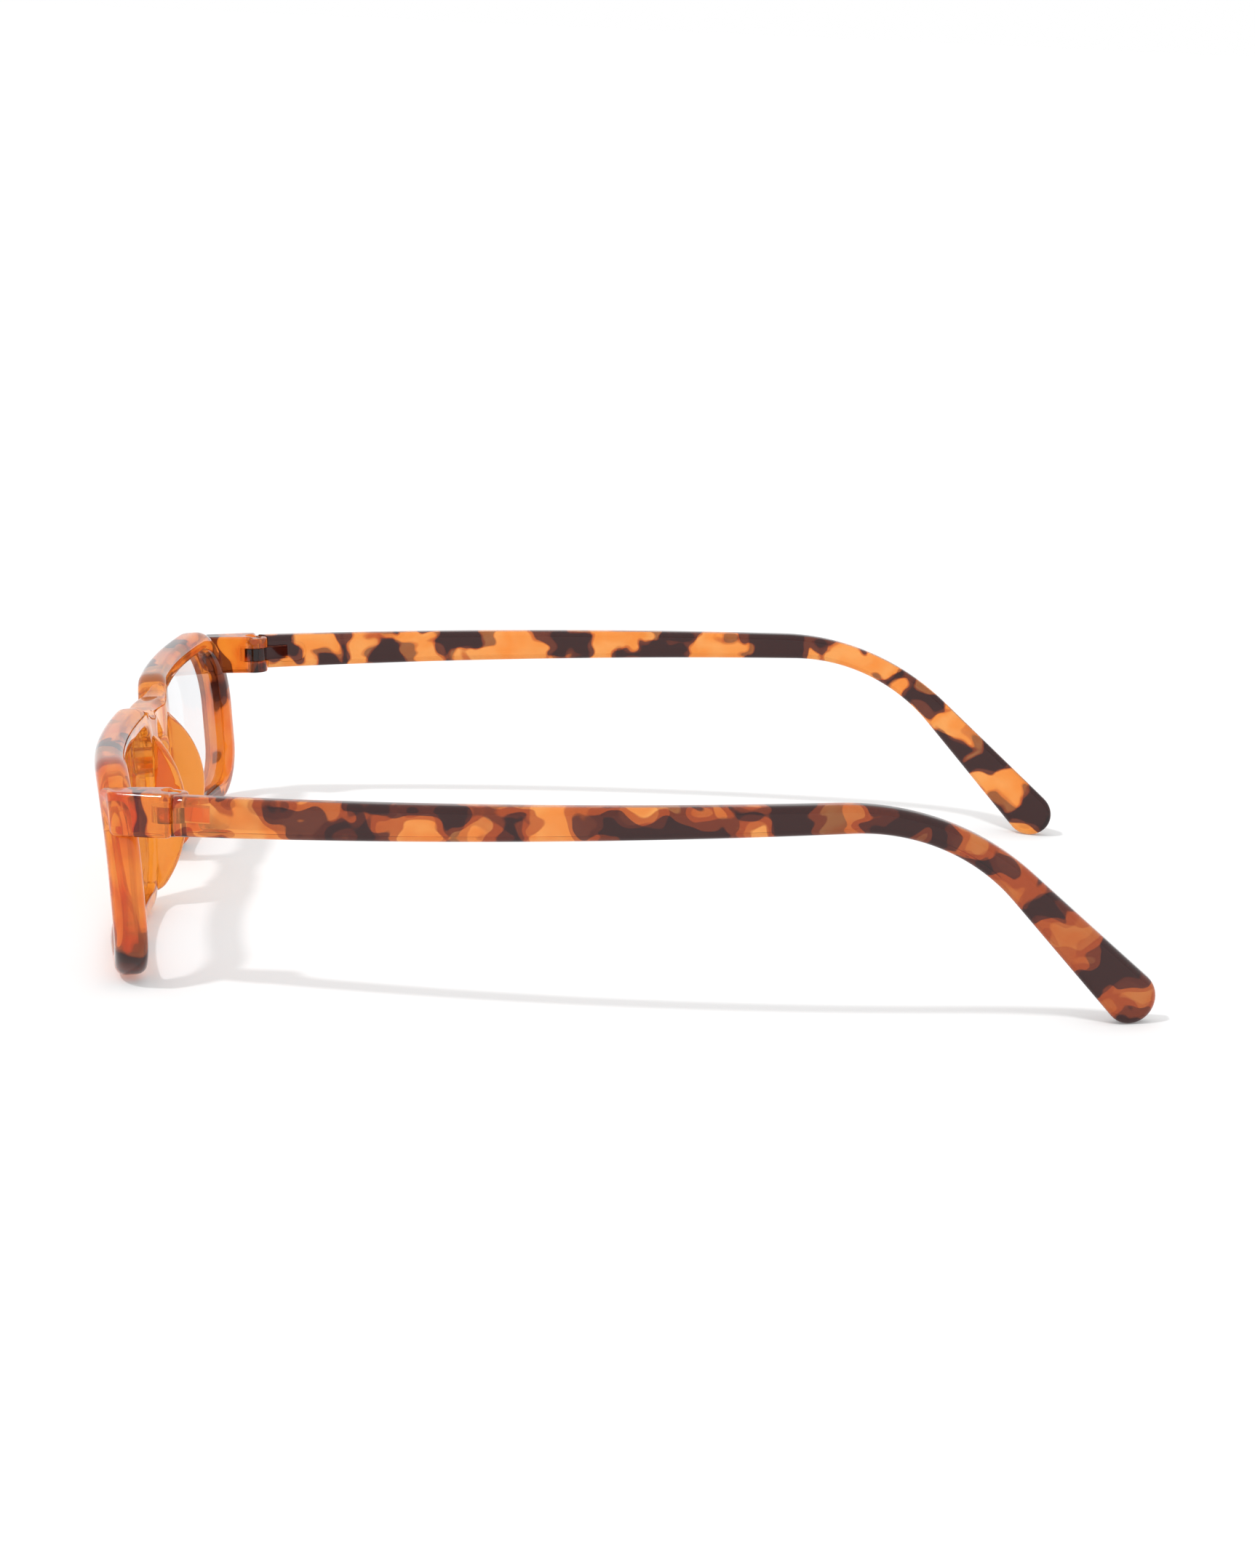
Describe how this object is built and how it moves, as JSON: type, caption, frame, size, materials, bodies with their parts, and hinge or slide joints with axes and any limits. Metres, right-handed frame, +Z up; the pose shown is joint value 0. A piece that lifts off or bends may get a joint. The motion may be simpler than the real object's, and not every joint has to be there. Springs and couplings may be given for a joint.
{
  "type": "reading glasses",
  "caption": "Full-rim reading glasses with rounded rims, a saddle bridge, moulded nose pads and slim bowed temples that fold on screw hinges.",
  "frame": {"origin": "centre of the bounding box at floor level, with the temples open and the glasses standing on the rims' lower edges and the temple tips", "axes": "+X towards the wearer's left temple, -Y out of the lenses' front, +Y towards the temple tips, +Z up"},
  "size_m": [0.1484, 0.147, 0.0305],
  "materials": {
    "tortoise": "polished translucent amber with dark brown blotches",
    "clear_lens": "clear and polished",
    "screw_steel": "fine turned"
  },
  "bodies": {
    "front": {"front_frame": "tortoise", "lens_left": "clear_lens", "lens_right": "clear_lens", "hinge_screw_left": "screw_steel", "hinge_screw_right": "screw_steel"},
    "left_temple": {"temple_left": "tortoise"},
    "right_temple": {"temple_right": "tortoise"}
  },
  "joints": [
    {"name": "left_hinge", "type": "hinge", "parent": "front", "child": "left_temple", "pos_m": [0.0643, -0.05951, 0.02452], "axis": [0, -0.045, 0.999], "range_deg": [0, 88]},
    {"name": "right_hinge", "type": "hinge", "parent": "front", "child": "right_temple", "pos_m": [-0.0643, -0.05951, 0.02452], "axis": [0, 0.045, -0.999], "range_deg": [0, 82]}
  ]
}
